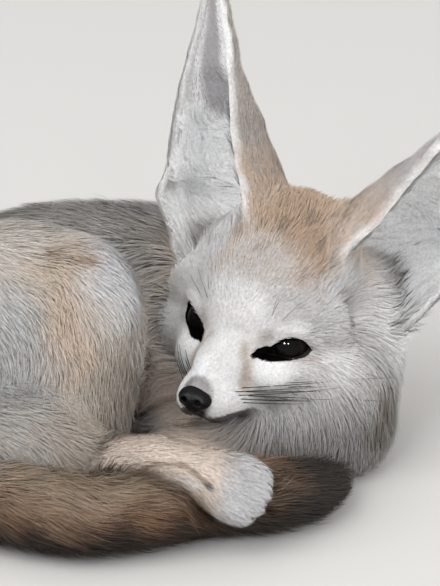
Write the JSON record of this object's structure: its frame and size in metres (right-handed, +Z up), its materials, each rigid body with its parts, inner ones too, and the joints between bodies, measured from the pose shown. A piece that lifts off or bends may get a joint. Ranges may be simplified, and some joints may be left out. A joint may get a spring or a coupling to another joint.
{
  "type": "fennec fox",
  "caption": "Curled-up fennec fox, resting model: body in a ring, head raised and turned over the flank, large ears up, tail along the front.",
  "frame": {"origin": "middle of the bounding box, on the floor under the animal", "axes": "+Z up; -Y towards the side where the tail and hind foot lie, +X towards the chest and head"},
  "size_m": [0.2655, 0.1893, 0.1659],
  "materials": {
    "coat_cream": "cream fur",
    "coat_sand": "sandy fur",
    "coat_grey": "grey-brown fur",
    "tail_rust": "rufous fur",
    "tail_black": "black fur",
    "eye": "wet gloss",
    "nose": "moist, finely pebbled"
  },
  "bodies": {
    "root": {"head": "coat_cream", "nose": "nose", "eye_r": "eye", "eye_l": "eye", "ear_r": "coat_sand", "ear_l": "coat_sand", "neck": "coat_cream", "chest": "coat_cream", "trunk": "coat_grey", "thigh_r": "coat_sand", "thigh_l": "coat_cream", "hind_foot_r": "coat_cream", "hind_foot_l": "coat_cream", "fore_leg_r": "coat_cream", "fore_leg_l": "coat_cream", "tail_base": "tail_rust", "tail_mid": "tail_rust", "tail_tip": "tail_black"}
  },
  "joints": []
}
